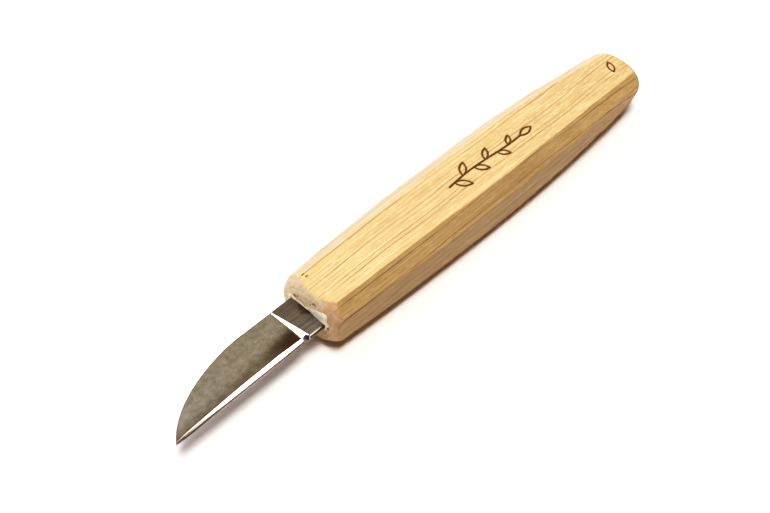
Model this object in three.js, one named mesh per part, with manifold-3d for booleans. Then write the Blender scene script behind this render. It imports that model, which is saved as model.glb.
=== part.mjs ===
// A whittling knife: a short straight-edged carving blade glued into an eight-sided wooden barrel handle.
// The knife lies on its flat, +Z up. The point is towards -X, the butt towards +X and the cutting edge
// faces -Y. The origin is under the middle of the knife, on the surface it lies on. Millimetres.
import * as THREE from "three";
import { mergeVertices } from "three/addons/utils/BufferGeometryUtils.js";
import Module from "manifold-3d";

// Handle
const HANDLE_LENGTH = 125;
const HALF_WIDTH = { front: 9.1, middle: 10.6, butt: 7.45 };
const HALF_HEIGHT = { front: 7.1, middle: 7.95, butt: 4.75 };
const WIDEST_AT = { from: 56, to: 64 }; // distances from the front face
const THICKEST_AT = { from: 36, to: 66 };
const FACE_SHARE = 0.63; // flat on the top, as a share of the width
const SIDE_SHARE = 0.55; // flat on the side, as a share of the thickness
const FRONT_CHAMFER = { length: 2.8, depth: 1.2 };
const BUTT_SIDES = { length: 6.4, depth: 5.6 }; // rounding seen from above
const BUTT_FACES = { length: 4.2, depth: 3.0 }; // rounding seen from the side
const BELLY_STEPS = 26;
const ROUNDING_STEPS = 9;

// Blade
const BLADE_REACH = 47.5; // point to handle
const BLADE_THICKNESS = 2.0;
const SPINE_Y = 5.85;
const SPINE_STRAIGHT = 17.4; // straight stretch of the spine, measured from the handle
const SPINE_EASE = 6.35; // how long the spine's curve leans on its straight stretch
const POINT_EASE = { length: 11.2, angle: 54.5 }; // how it comes down to the point, in degrees from the edge
const EDGE_Y = { heel: -5.5, point: -5.9 };
const RICASSO_LENGTH = 5.85; // handle to the middle of the choil notch
const RICASSO_EDGE_Y = -5.35;
const CHOIL = { radius: 0.85, y: -5.25 };
const THICKNESS_ABOVE_BEVEL = 0.9;
const EDGE_LAND = 0.1; // thickness left at the cutting edge
const BEVEL_HEIGHT = 1.15;
const PLUNGE = { spineX: 6.8, edgeX: 4.95, faceX: 6.5 }; // distances from the handle
const TIP_CURVE_STEPS = 22;
const NOTCH_SIDES = 28;

// Tang, and the bed of adhesive around it
const TANG = { length: 62, width: 7.0, endWidth: 5.0, endRadius: 2.0 };
const SHOULDER_DEPTH = 4; // how far the full blade width runs into the handle
const TANG_Y = 0.4;
const BED_WALL = 0.35;
const CLEARANCE = 0.1; // between the bed and what it touches
const BED_BEYOND_TANG = 1.5;
const SQUEEZE_OUT = 0.25; // bead of adhesive standing proud of the handle's front face

// Derived places in the knife's frame
const FRONT_X = BLADE_REACH - (BLADE_REACH + HANDLE_LENGTH) / 2;
const MIDDLE_Z = HALF_HEIGHT.middle;
const HALF_THICKNESS = BLADE_THICKNESS / 2;
const REACH_BEYOND = 20; // cutters run this far past what they cut

const ash = new THREE.MeshStandardMaterial({ color: 0xe6c68f, roughness: 0.72, metalness: 0.0 });
const steel = new THREE.MeshStandardMaterial({ color: 0x8d8476, roughness: 0.34, metalness: 1.0 });
const adhesive = new THREE.MeshStandardMaterial({ color: 0xd9cfb6, roughness: 0.42, metalness: 0.0 });

const wasm = await Module();
wasm.setup();

function toSolid(geometry) {
  const bare = geometry.index ? geometry.toNonIndexed() : geometry;
  bare.deleteAttribute("normal");
  bare.deleteAttribute("uv");
  const merged = mergeVertices(bare, 1e-5);
  return new wasm.Manifold(
    new wasm.Mesh({
      numProp: 3,
      vertProperties: new Float32Array(merged.attributes.position.array),
      triVerts: new Uint32Array(merged.index.array),
    }),
  );
}

function toMesh(name, solid, material) {
  const result = solid.getMesh();
  const geometry = new THREE.BufferGeometry();
  geometry.setAttribute("position", new THREE.BufferAttribute(new Float32Array(result.vertProperties), 3));
  geometry.setIndex(new THREE.BufferAttribute(new Uint32Array(result.triVerts), 1));
  geometry.computeVertexNormals();
  const mesh = new THREE.Mesh(geometry, material);
  mesh.name = name;
  return mesh;
}

// A block that fills one side of a plane: its near face passes through `point`, with `normal` pointing in.
function halfSpace(point, normal) {
  const size = 200;
  const box = new THREE.BoxGeometry(size, size, size);
  box.translate(0, 0, size / 2);
  const turn = new THREE.Quaternion().setFromUnitVectors(new THREE.Vector3(0, 0, 1), normal.clone().normalize());
  box.applyQuaternion(turn);
  box.translate(point.x, point.y, point.z);
  return toSolid(box);
}

function extrudeFlat(shape, thickness, curveSegments = 12) {
  const geometry = new THREE.ExtrudeGeometry(shape, { depth: thickness, bevelEnabled: false, curveSegments });
  geometry.translate(0, 0, -thickness / 2);
  return geometry;
}

// ---- Handle ----

// Half-size at a distance from the front: it swells to the middle, stays level, and tapers to the butt.
function barrel(size, level, distance) {
  if (distance < level.from) {
    const share = (level.from - distance) / level.from;
    return size.middle - (size.middle - size.front) * share ** 2;
  }
  const share = Math.max(0, distance - level.to) / (HANDLE_LENGTH - level.to);
  return size.middle - (size.middle - size.butt) * share ** 1.8;
}

// How far the section has drawn in, over the front chamfer or a rounding of the butt.
function insetAt(distance, rounding) {
  const fromButt = HANDLE_LENGTH - distance;
  if (distance < FRONT_CHAMFER.length) {
    return FRONT_CHAMFER.depth * (1 - distance / FRONT_CHAMFER.length) ** 1.25;
  }
  if (fromButt < rounding.length) {
    const share = 1 - fromButt / rounding.length;
    return rounding.depth * (1 - Math.sqrt(1 - share ** 2));
  }
  return 0;
}

function handleSection(distance) {
  const y = barrel(HALF_WIDTH, WIDEST_AT, distance) - insetAt(distance, BUTT_SIDES);
  const z = barrel(HALF_HEIGHT, THICKEST_AT, distance) - insetAt(distance, BUTT_FACES);
  const ridgeY = FACE_SHARE * y;
  const flankZ = SIDE_SHARE * z;
  return [
    [y, -flankZ], [y, flankZ], [ridgeY, z], [-ridgeY, z],
    [-y, flankZ], [-y, -flankZ], [-ridgeY, -z], [ridgeY, -z],
  ].map(([across, up]) => new THREE.Vector3(FRONT_X + distance, across, MIDDLE_Z + up));
}

function handleStations() {
  const stations = [];
  for (let step = 0; step < 4; step += 1) {
    stations.push((FRONT_CHAMFER.length * step) / 4);
  }
  const bellyEnd = HANDLE_LENGTH - BUTT_SIDES.length;
  for (let step = 0; step <= BELLY_STEPS; step += 1) {
    stations.push(THREE.MathUtils.lerp(FRONT_CHAMFER.length, bellyEnd, step / BELLY_STEPS));
  }
  for (let step = 1; step <= ROUNDING_STEPS; step += 1) {
    stations.push(bellyEnd + BUTT_SIDES.length * Math.sin((step / ROUNDING_STEPS) * (Math.PI / 2)));
  }
  stations.push(THICKEST_AT.from, THICKEST_AT.to);
  return stations.sort((a, b) => a - b);
}

// Closed skin through equal-sided sections, with a flat cap at each end.
function loft(sections) {
  const sides = sections[0].length;
  const points = sections.flat();
  const triangles = [];
  for (let row = 0; row + 1 < sections.length; row += 1) {
    for (let side = 0; side < sides; side += 1) {
      const a = row * sides + side;
      const b = row * sides + ((side + 1) % sides);
      triangles.push(a, b, b + sides, a, b + sides, a + sides);
    }
  }
  const last = (sections.length - 1) * sides;
  for (let side = 1; side + 1 < sides; side += 1) {
    triangles.push(0, side + 1, side, last, last + side, last + side + 1);
  }
  const geometry = new THREE.BufferGeometry().setFromPoints(points);
  geometry.setIndex(triangles);
  return geometry;
}

// ---- Blade ----

function tangOutline(grow) {
  const endX = FRONT_X + TANG.length + grow;
  const half = TANG.width / 2 + grow;
  const endHalf = TANG.endWidth / 2 + grow;
  const round = TANG.endRadius;
  return { endX, half, endHalf, round };
}

// The part inside the handle, drawn from the given start to the tang's end and grown all round.
function rootShape(startX, grow) {
  const tang = tangOutline(grow);
  const shoulderX = FRONT_X + SHOULDER_DEPTH + grow;
  const shape = new THREE.Shape();
  shape.moveTo(startX, RICASSO_EDGE_Y - grow);
  shape.lineTo(shoulderX, RICASSO_EDGE_Y - grow);
  shape.lineTo(shoulderX, TANG_Y - tang.half);
  shape.lineTo(tang.endX - tang.round, TANG_Y - tang.endHalf);
  shape.quadraticCurveTo(tang.endX, TANG_Y - tang.endHalf, tang.endX, TANG_Y);
  shape.quadraticCurveTo(tang.endX, TANG_Y + tang.endHalf, tang.endX - tang.round, TANG_Y + tang.endHalf);
  shape.lineTo(shoulderX, TANG_Y + tang.half);
  shape.lineTo(shoulderX, SPINE_Y + grow);
  shape.lineTo(startX, SPINE_Y + grow);
  shape.closePath();
  return shape;
}

function bladeShape() {
  const pointX = FRONT_X - BLADE_REACH;
  const choilX = FRONT_X - RICASSO_LENGTH;
  const pointAngle = THREE.MathUtils.degToRad(POINT_EASE.angle);
  const shape = new THREE.Shape();
  shape.moveTo(FRONT_X + 1, RICASSO_EDGE_Y);
  shape.lineTo(FRONT_X + 1, SPINE_Y);
  shape.lineTo(FRONT_X - SPINE_STRAIGHT, SPINE_Y);
  shape.bezierCurveTo(
    FRONT_X - SPINE_STRAIGHT - SPINE_EASE, SPINE_Y,
    pointX + POINT_EASE.length * Math.cos(pointAngle), EDGE_Y.point + POINT_EASE.length * Math.sin(pointAngle),
    pointX, EDGE_Y.point,
  );
  shape.lineTo(choilX, EDGE_Y.heel);
  shape.lineTo(choilX, RICASSO_EDGE_Y);
  shape.closePath();
  return shape;
}

// Everything above the ground face and on the point's side of the plunge, on the upper side of the blade.
function grindCut() {
  const spine = new THREE.Vector3(FRONT_X - PLUNGE.spineX, SPINE_Y, HALF_THICKNESS);
  const ricassoFoot = new THREE.Vector3(FRONT_X - PLUNGE.edgeX, RICASSO_EDGE_Y, HALF_THICKNESS);
  const bevelTop = EDGE_Y.heel + BEVEL_HEIGHT;
  const faceFoot = new THREE.Vector3(FRONT_X - PLUNGE.faceX, bevelTop, THICKNESS_ABOVE_BEVEL / 2);
  const drop = HALF_THICKNESS - THICKNESS_ABOVE_BEVEL / 2;
  const faceNormal = new THREE.Vector3(0, -drop, SPINE_Y - bevelTop);
  const plungeNormal = ricassoFoot.clone().sub(spine).cross(faceFoot.clone().sub(spine));
  plungeNormal.multiplyScalar(-Math.sign(plungeNormal.x));
  return halfSpace(spine, faceNormal).intersect(halfSpace(spine, plungeNormal));
}

// The narrow bevel that makes the cutting edge, on the upper side, ending in the choil notch.
function bevelCut() {
  const heel = new THREE.Vector3(FRONT_X - RICASSO_LENGTH, EDGE_Y.heel, EDGE_LAND / 2);
  const point = new THREE.Vector3(FRONT_X - BLADE_REACH, EDGE_Y.point, EDGE_LAND / 2);
  const rise = (THICKNESS_ABOVE_BEVEL - EDGE_LAND) / 2;
  const up = new THREE.Vector3(0, BEVEL_HEIGHT, rise);
  const normal = up.cross(point.clone().sub(heel));
  normal.multiplyScalar(Math.sign(normal.z));
  return halfSpace(heel, normal).intersect(halfSpace(heel, new THREE.Vector3(-1, 0, 0)));
}

function mirrored(solid) {
  return solid.mirror([0, 0, 1]);
}

function notchCut() {
  const notch = new THREE.CylinderGeometry(CHOIL.radius, CHOIL.radius, REACH_BEYOND, NOTCH_SIDES);
  notch.rotateX(Math.PI / 2);
  notch.translate(FRONT_X - RICASSO_LENGTH, CHOIL.y, 0);
  return toSolid(notch);
}

function bladeSolid() {
  const above = toSolid(extrudeFlat(bladeShape(), BLADE_THICKNESS, TIP_CURVE_STEPS));
  const root = toSolid(extrudeFlat(rootShape(FRONT_X, 0), BLADE_THICKNESS));
  let solid = above.add(root);
  for (const cut of [grindCut(), bevelCut()]) {
    solid = solid.subtract(cut).subtract(mirrored(cut));
  }
  return solid.subtract(notchCut()).translate([0, 0, MIDDLE_Z]);
}

// ---- Adhesive bed ----

function rootHole(startX, grow) {
  return toSolid(extrudeFlat(rootShape(startX, grow), BLADE_THICKNESS + 2 * grow));
}

function slotSolid() {
  const grow = BED_WALL + 2 * CLEARANCE;
  const slot = rootHole(FRONT_X - REACH_BEYOND, grow);
  const end = new THREE.BoxGeometry(2 * BED_BEYOND_TANG, TANG.endWidth, BLADE_THICKNESS);
  end.translate(FRONT_X + TANG.length + grow, TANG_Y, 0);
  return slot.add(toSolid(end)).translate([0, 0, MIDDLE_Z]);
}

function bedSolid() {
  const outer = rootHole(FRONT_X - SQUEEZE_OUT, BED_WALL + CLEARANCE);
  const inner = rootHole(FRONT_X - REACH_BEYOND, CLEARANCE);
  return outer.subtract(inner).translate([0, 0, MIDDLE_Z]);
}

const handleSkin = toSolid(loft(handleStations().map(handleSection)));

const knife = new THREE.Group();
knife.add(toMesh("blade", bladeSolid(), steel));
knife.add(toMesh("handle", handleSkin.subtract(slotSolid()), ash));
knife.add(toMesh("adhesive_bed", bedSolid(), adhesive));

export default knife;
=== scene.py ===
import math

import bmesh
import bpy
import numpy as np
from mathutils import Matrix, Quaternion, Vector


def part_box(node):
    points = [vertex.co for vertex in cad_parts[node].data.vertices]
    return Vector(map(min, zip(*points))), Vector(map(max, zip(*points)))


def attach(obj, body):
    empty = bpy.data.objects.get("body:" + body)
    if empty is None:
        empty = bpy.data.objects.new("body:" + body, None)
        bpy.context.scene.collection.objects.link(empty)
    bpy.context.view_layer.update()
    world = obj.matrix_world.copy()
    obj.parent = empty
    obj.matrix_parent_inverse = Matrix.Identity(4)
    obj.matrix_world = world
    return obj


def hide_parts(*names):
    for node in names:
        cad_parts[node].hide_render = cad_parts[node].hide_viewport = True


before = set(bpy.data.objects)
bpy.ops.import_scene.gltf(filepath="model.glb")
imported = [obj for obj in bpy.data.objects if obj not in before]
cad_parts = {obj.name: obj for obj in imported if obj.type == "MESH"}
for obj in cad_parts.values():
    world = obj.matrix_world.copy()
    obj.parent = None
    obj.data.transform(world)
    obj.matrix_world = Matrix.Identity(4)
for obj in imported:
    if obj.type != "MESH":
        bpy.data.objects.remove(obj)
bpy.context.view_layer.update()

MM = 0.001

# ---- Sizes ----

HANDLE_LOW, HANDLE_HIGH = (np.array(corner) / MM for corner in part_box("handle"))
BLADE_LOW, BLADE_HIGH = (np.array(corner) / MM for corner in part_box("blade"))
FRONT_X = HANDLE_LOW[0]
HANDLE_LENGTH = HANDLE_HIGH[0] - HANDLE_LOW[0]
MIDDLE_Z = (HANDLE_LOW[2] + HANDLE_HIGH[2]) / 2
REACH = FRONT_X - BLADE_LOW[0]
TANG_LENGTH = BLADE_HIGH[0] - FRONT_X

HALF_WIDTH = dict(front=9.1, middle=(HANDLE_HIGH[1] - HANDLE_LOW[1]) / 2, butt=7.45)
HALF_HEIGHT = dict(front=7.1, middle=(HANDLE_HIGH[2] - HANDLE_LOW[2]) / 2, butt=4.75)
BARREL_POWER = dict(front=2, butt=1.8)
WIDEST = (56, 64)
THICKEST = (36, 66)
FACE_SHARE = 0.63
SIDE_SHARE = 0.55
END_ARCH = dict(depth=6.2, half_width=8.35)
END_ABOVE = dict(depth=2.4, power=2.2)
END_BELOW = dict(depth=6.5, power=1.35)
END_INSET = 0.05
END_ROUNDING = 0.3
END_LENGTH = 16
FRONT_LENGTH = 5
# The section's corners in turn: the +Y or -Y side, up or down, and whether the corner is on a flank.
CORNERS = ((1, -1, 1), (1, 1, 1), (1, 1, 0), (-1, 1, 0), (-1, 1, 1), (-1, -1, 1), (-1, -1, 0), (1, -1, 0))
# Columns of points across the facets from corner to corner: +Y flank, bevel, top, bevel, -Y flank, bevel,
# base, bevel.
FACET_COLUMNS = (30, 20, 66, 20, 30, 20, 44, 20)
CORNER_COLUMNS = 4
CORNER = dict(radius=0.42, change=0.12, tangent=0.41, most=0.42)
FACET_WANDER = 0.13
SECOND_WAVE = 0.45
WANDER_Y = dict(steps=(17, 6), seeds=(10, 30), flank=0.4, face=1.6)
WANDER_Z = dict(steps=(21, 7), seeds=(50, 70), flank=1.6, face=0.35)
CALM_BUTT = dict(length=20, least=0.3)
FRONT_LIMIT = dict(face=0.86, whole=1.26, length=4.6, power=0.6, ripple=0.022, softness=0.012)

SPINE_Y = 5.85
SPINE_STRAIGHT = 17.4
SPINE_EASE = 6.35
POINT_EASE = dict(length=11.2, angle=54.5)
EDGE_Y = dict(heel=-5.5, point=-5.9)
RICASSO_Y = -5.35
CHOIL = dict(at=5.85, y=-5.25, radius=0.85)
HALF_THICKNESS = (BLADE_HIGH[2] - BLADE_LOW[2]) / 2
HALF_AT_BEVEL = 0.45
HALF_AT_LAND = 0.22
HALF_AT_EDGE = 0.02
GRIND_STEP = 0.08
LAND = 0.46
BEVEL_TOP_Y = EDGE_Y["heel"] + 1.15
BEVEL_HEIGHT = dict(along=(7, 9, 14, 20, 26, 30, 34, 38, 44, REACH),
                    height=(1.25, 1.3, 1.5, 1.4, 1.38, 1.28, 1.15, 1.05, 0.85, 0.5))
FACE_BELLY = 0.035
PLUNGE = dict(spine=6.8, edge=4.95, face=6.5, mouth=0.12, rounding=0.12)
WORN_EDGE = dict(width=0.3, foot=0.12, power=0.7)
TANG = dict(y=0.4, half=3.5, end_half=2.5, shoulder=4.0)
SLOT = dict(half_width=6.05, half_height=1.27, y=0.27, power=6)
SLOT_NECK = (4.5, 5.2)
SLOT_DEPTHS = (TANG_LENGTH + 0.6, TANG_LENGTH, 30, 8, 5.2, 4.6, 3, 1.2, 0.5, 0.2, 0.06)


# ---- Small tools ----

def rng(seed):
    return np.random.default_rng(seed)


def fade(t):
    return t * t * (3 - 2 * t)


def wander(t, step, seed):
    """A smooth random curve between -1 and 1, with a knot every `step`."""
    knots = rng(seed).uniform(-1, 1, 400)
    place = np.asarray(t, float) / step + 40
    low = np.floor(place).astype(int)
    share = fade(place - low)
    return knots[low] * (1 - share) + knots[low + 1] * share


def ripple(u, v, step_u, step_v, seed):
    """Smooth random height between -1 and 1 over a plane."""
    knots = rng(seed).uniform(-1, 1, (300, 300))
    place_u, place_v = np.asarray(u, float) / step_u + 90, np.asarray(v, float) / step_v + 90
    low_u, low_v = np.floor(place_u).astype(int), np.floor(place_v).astype(int)
    share_u, share_v = fade(place_u - low_u), fade(place_v - low_v)
    near = knots[low_u, low_v] * (1 - share_u) + knots[low_u + 1, low_v] * share_u
    far = knots[low_u, low_v + 1] * (1 - share_u) + knots[low_u + 1, low_v + 1] * share_u
    return near * (1 - share_v) + far * share_v


def smooth_max(a, b, width):
    share = np.clip(0.5 + 0.5 * (a - b) / width, 0, 1)
    return b * (1 - share) + a * share + width * share * (1 - share)


def smooth_min(a, b, width):
    return -smooth_max(-a, -b, width)


def smooth_step(value, low, high):
    return fade(np.clip((value - low) / (high - low), 0, 1))


def add_object(name, data):
    made = bpy.data.objects.new(name, data)
    bpy.context.collection.objects.link(made)
    return made


def turn_to(thing, direction):
    """Turns a lamp's or camera's back towards a direction, so that it looks the other way."""
    thing.rotation_mode = "QUATERNION"
    thing.rotation_quaternion = Vector(direction).to_track_quat("Z", "Y")


def grid_object(name, rings, first=None, last=None, closed=False):
    """A closed skin through rings of points in millimetres, with a point at each end or joined in a loop."""
    count, sides = rings.shape[:2]
    points = (rings.reshape(-1, 3) * MM).tolist()
    rows = count if closed else count - 1
    faces = []
    for row in range(rows):
        here, ahead = row * sides, ((row + 1) % count) * sides
        for side in range(sides):
            beyond = (side + 1) % sides
            faces.append((here + side, here + beyond, ahead + beyond, ahead + side))
    for point, start, turn in ((first, 0, 1), (last, (count - 1) * sides, -1)):
        if point is None:
            continue
        tip = len(points)
        points.append([value * MM for value in point])
        for side in range(sides):
            beyond = (side + 1) % sides
            faces.append((tip, start + beyond, start + side)[::turn])
    mesh = bpy.data.meshes.new(name)
    mesh.from_pydata(points, [], faces)
    mesh.validate()
    body = bmesh.new()
    body.from_mesh(mesh)
    bmesh.ops.recalc_face_normals(body, faces=body.faces)
    body.to_mesh(mesh)
    body.free()
    mesh.shade_smooth()
    return add_object(name, mesh)


# ---- Handle ----

def barrel(size, level, distance):
    """Half the handle's width or height along it: level in the middle, falling off to the front and butt."""
    ahead = np.clip(level[0] - distance, 0, None) / level[0]
    behind = np.clip(distance - level[1], 0, None) / (HANDLE_LENGTH - level[1])
    return (size["middle"] - (size["middle"] - size["front"]) * ahead ** BARREL_POWER["front"]
            - (size["middle"] - size["butt"]) * behind ** BARREL_POWER["butt"])


def end_distance(y, z):
    """Where the rounded end surface lies: an arch in plan, cut away more below than above."""
    arch = END_ARCH["depth"] * (1 - np.sqrt(np.clip(1 - (y / END_ARCH["half_width"]) ** 2, 0, 1)))
    share = np.abs(z) / HALF_HEIGHT["butt"]
    above = END_ABOVE["depth"] * share ** END_ABOVE["power"]
    below = END_BELOW["depth"] * share ** END_BELOW["power"]
    return HANDLE_LENGTH - END_INSET - arch - np.where(z > 0, above, below)


def corner_stray(distance, number, on_flank, rule):
    """How far one hand-cut corner strays along the handle: a long wave and a shorter one."""
    long, short = (wander(distance, step, seed + number) for step, seed in zip(rule["steps"], rule["seeds"]))
    return FACET_WANDER * (long + SECOND_WAVE * short) * rule["flank" if on_flank else "face"]


def facet_corners(distance, width, height):
    calm = np.clip((HANDLE_LENGTH - distance) / CALM_BUTT["length"], CALM_BUTT["least"], 1)
    corners = []
    for number, (side, up, on_flank) in enumerate(CORNERS):
        y = side * width * (1 if on_flank else FACE_SHARE)
        z = up * height * (SIDE_SHARE if on_flank else 1)
        y = y + calm * corner_stray(distance, number, on_flank, WANDER_Y)
        z = z + calm * corner_stray(distance, number, on_flank, WANDER_Z)
        corners.append(np.stack([y, np.clip(z, -MIDDLE_Z, MIDDLE_Z)], -1))
    return np.stack(corners, 1)


def facet_points(corners, radius):
    """Points along each facet and round each corner between two facets."""
    pull = CORNER["tangent"] * radius[:, None]
    count = len(FACET_COLUMNS)
    pieces = []
    for number, columns in enumerate(FACET_COLUMNS):
        here, ahead = corners[:, number], corners[:, (number + 1) % count]
        after = corners[:, (number + 2) % count]
        edge, next_edge = ahead - here, after - ahead
        length = np.linalg.norm(edge, axis=1, keepdims=True)
        next_length = np.linalg.norm(next_edge, axis=1, keepdims=True)
        trim = np.minimum(pull, CORNER["most"] * length)
        start = here + edge / length * trim
        end = ahead - edge / length * trim
        follow = ahead + next_edge / next_length * np.minimum(pull, CORNER["most"] * next_length)
        for share in np.linspace(0, 1, columns):
            pieces.append(start + (end - start) * share)
        for share in np.linspace(0, 1, CORNER_COLUMNS + 2)[1:-1]:
            pieces.append(end * (1 - share) ** 2 + 2 * ahead * share * (1 - share) + follow * share ** 2)
    return np.stack(pieces, 1)


def handle_sections(distance):
    """Rounded eight-sided (y, z) sections with no facet quite flat, and how much the front cut takes off."""
    width = barrel(HALF_WIDTH, WIDEST, distance)
    height = barrel(HALF_HEIGHT, THICKEST, distance)
    radius = CORNER["radius"] + CORNER["change"] * wander(distance, 9, 5)
    sections = facet_points(facet_corners(distance, width, height), radius)
    reach = np.sqrt((sections[..., 0] / width[:, None]) ** 2 + (sections[..., 1] / height[:, None]) ** 2)
    turn = np.arctan2(sections[..., 1], sections[..., 0])
    share = np.clip(distance / FRONT_LIMIT["length"], 0, 1)[:, None] ** FRONT_LIMIT["power"]
    limit = FRONT_LIMIT["face"] + (FRONT_LIMIT["whole"] - FRONT_LIMIT["face"]) * share
    limit = limit + FRONT_LIMIT["ripple"] * ripple(turn * 4, distance[:, None] + 0 * turn, 2.1, 1.6, 8)
    limit = limit + 5 * (distance[:, None] > FRONT_LIMIT["length"])  # no limit behind the front cut
    kept = smooth_min(reach, limit, FRONT_LIMIT["softness"]) / reach
    return sections * kept[..., None], 1 - smooth_step(kept, 0.955, 0.995)


def end_rings(start):
    """The facets run straight on to the end surface, turn over a small rounding and close across it."""
    table_at = np.linspace(start, HANDLE_LENGTH, 120)
    table, _ = handle_sections(table_at)
    step = table_at[1] - table_at[0]
    columns = np.arange(table.shape[1])

    def on_facets(distance):
        place = np.clip((distance - start) / step, 0, len(table_at) - 1.001)
        low = place.astype(int)
        share = (place - low)[:, None]
        across = table[low, columns] * (1 - share) + table[low + 1, columns] * share
        return np.concatenate([distance[:, None], across], -1)

    def on_end(y, z):
        return np.stack([end_distance(y, z), y, z], -1)

    beyond = table_at[:, None] - end_distance(table[..., 0], table[..., 1])
    first = np.argmax(beyond > 0, axis=0)
    before, after = beyond[first - 1, columns], beyond[first, columns]
    reach = table_at[first - 1] + step * before / (before - after)
    shares = np.linspace(0, 1, 40)[1:]
    facets = [on_facets(start + (reach - END_ROUNDING - start) * share) for share in shares]
    edge = on_facets(reach)
    inward = 1 - END_ROUNDING / np.hypot(edge[:, 1], edge[:, 2])
    inner = on_end(edge[:, 1] * inward, edge[:, 2] * inward)
    rounding = [facets[-1] * (1 - share) ** 2 + 2 * edge * share * (1 - share) + inner * share ** 2
                for share in (0.25, 0.5, 0.75, 1)]
    shares = 1 - np.linspace(0, 1, 16)[1:-1] ** 1.6
    cap = [on_end(inner[:, 1] * share, inner[:, 2] * share) for share in shares]
    return np.stack(facets + rounding[:2]), np.stack(rounding[2:] + cap)


def slot_outline(outer, half_width, half_height):
    """Points round the slot, one for each column of the handle's front ring."""
    y, z = outer[:, 0] / HALF_WIDTH["front"], outer[:, 1] / HALF_HEIGHT["front"]
    scale = (np.abs(y) ** SLOT["power"] + np.abs(z) ** SLOT["power"]) ** (-1 / SLOT["power"])
    return np.stack([SLOT["y"] + half_width * y * scale, half_height * z * scale], -1)


def face_height(y, z):
    """How far the cut front face stands off its plane, towards the point."""
    return (0.07 * ripple(y, z, 2.3, 1.7, 90) + 0.045 * ripple(y, z, 0.8, 0.6, 91)
            + 0.02 * ripple(y, z, 0.33, 0.3, 92))


# Pits in the front face: y, height over the middle, radius and depth.
PITS = ((4.8, 2.5, 0.36, 0.5), (4.0, 3.0, 0.2, 0.3), (-1.55, 4.9, 0.42, 0.7), (-0.4, 3.9, 0.2, 0.25),
        (-4.6, 2.6, 0.2, 0.3), (-6.1, 0.45, 0.55, 0.8))


def pit_depth(y, z):
    depth = 0 * y
    for pit_y, pit_z, radius, deep in PITS:
        turn = np.arctan2(z - pit_z, y - pit_y)
        gap = np.hypot((y - pit_y) / 1.3, z - pit_z) * (1 + 0.25 * np.sin(3 * turn))
        depth = depth + deep * (1 - smooth_step(gap, radius * 0.5, radius))
    return depth


def slot_rings(rim):
    """The wall of the blind slot, from its floor out to just inside the front face."""
    rings = []
    for depth in SLOT_DEPTHS:
        narrow = smooth_step(depth, *SLOT_NECK)
        half = SLOT["half_width"] * (1 - narrow) + (TANG["half"] + 0.5) * narrow
        at_mouth = depth < 0.1
        outline = slot_outline(rim, half + 0.08 * at_mouth, SLOT["half_height"] + 0.06 * at_mouth)
        rings.append(np.concatenate([np.full((len(rim), 1), FRONT_X + depth), outline], -1))
    return np.stack(rings)


def face_rings(rim):
    """The front face from the slot's mouth out to the rim, slightly domed, uneven and pitted."""
    mouth = slot_outline(rim, SLOT["half_width"] + 0.14, SLOT["half_height"] + 0.12)
    rings = []
    for share in np.linspace(0, 1, 26)[:-1]:
        flat = mouth * (1 - share) + rim * share
        calm = smooth_step(share, 0, 0.12) * (1 - smooth_step(share, 0.9, 1))
        lift = face_height(flat[:, 0], flat[:, 1]) - pit_depth(flat[:, 0], flat[:, 1])
        dome = 0.05 * (1 - share ** 3)
        rings.append(np.concatenate([(FRONT_X - dome - lift * calm)[:, None], flat], -1))
    return np.stack(rings)


def handle_rings():
    """All the handle's rings, the slot's deepest point, the butt's end point and the point attributes."""
    front = np.linspace(0, FRONT_LENGTH, 27)
    belly = np.linspace(FRONT_LENGTH, HANDLE_LENGTH - END_LENGTH, 136)[1:]
    distance = np.concatenate([front, belly])
    sections, cut = handle_sections(distance)
    x = np.broadcast_to(distance[:, None, None] + FRONT_X, sections.shape[:2] + (1,))
    facets, cap = end_rings(HANDLE_LENGTH - END_LENGTH)
    outer = np.concatenate([np.concatenate([x, sections], -1), facets + [FRONT_X, 0, 0]])
    cap = cap + [FRONT_X, 0, 0]
    cut = np.concatenate([cut, np.zeros(facets.shape[:2])])
    slot, face = slot_rings(sections[0]), face_rings(sections[0])
    rings = np.concatenate([slot, face, outer, cap]) + [0, 0, MIDDLE_Z]
    rings[..., 1] = np.clip(rings[..., 1], HANDLE_LOW[1], HANDLE_HIGH[1])
    deepest = [FRONT_X + SLOT_DEPTHS[0] + 0.1, SLOT["y"], MIDDLE_Z]
    end_point = [FRONT_X + HANDLE_LENGTH - END_INSET, 0, MIDDLE_Z]
    hidden, plain = np.ones(slot.shape[:2]), np.zeros((len(outer) + len(cap), slot.shape[1]))
    pit = np.clip(pit_depth(face[..., 1], face[..., 2]) / 0.25, 0, 1)
    attributes = {
        "cut": np.concatenate([hidden, np.ones(pit.shape), cut, np.ones(cap.shape[:2])]),
        "pit": np.concatenate([hidden, pit, plain]),
    }
    attributes = {name: np.append(values.ravel(), [1, 0]) for name, values in attributes.items()}
    return rings, deepest, end_point, attributes


# ---- Burned marks: a leafy twig along the handle and one leaf by the butt ----

TWIG = dict(start=10.6, end=42.6, y=-0.15, sway=0.45, leaves=6, leaf=4.7, shrink=0.06, spread=43, stroke=0.26)
END_LEAF = dict(length=4.6, turn=4)
LEAF_FAT = 0.2
BUTT_LEAF = dict(x=78.7, y=0.4, length=4.0, turn=62, fat=0.22, stroke=0.24)
MARK_DEPTH = 0.16
# Two small nicks near the front: x, y, half length and half width.
NICKS = ((-35.6, 5.6, 0.5, 0.22), (-35.3, 4.6, 0.55, 0.24))
# Rectangles of the top facet that need finer points: low corner, high corner and cuts per edge.
FINE_PATCHES = (((10, -4.6), (44, 4.6), 3), ((76, -2.6), (82, 3.2), 2), ((-37.5, 3), (-34, 7), 1))
TOP_FACET_Z = MIDDLE_Z + 3


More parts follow.
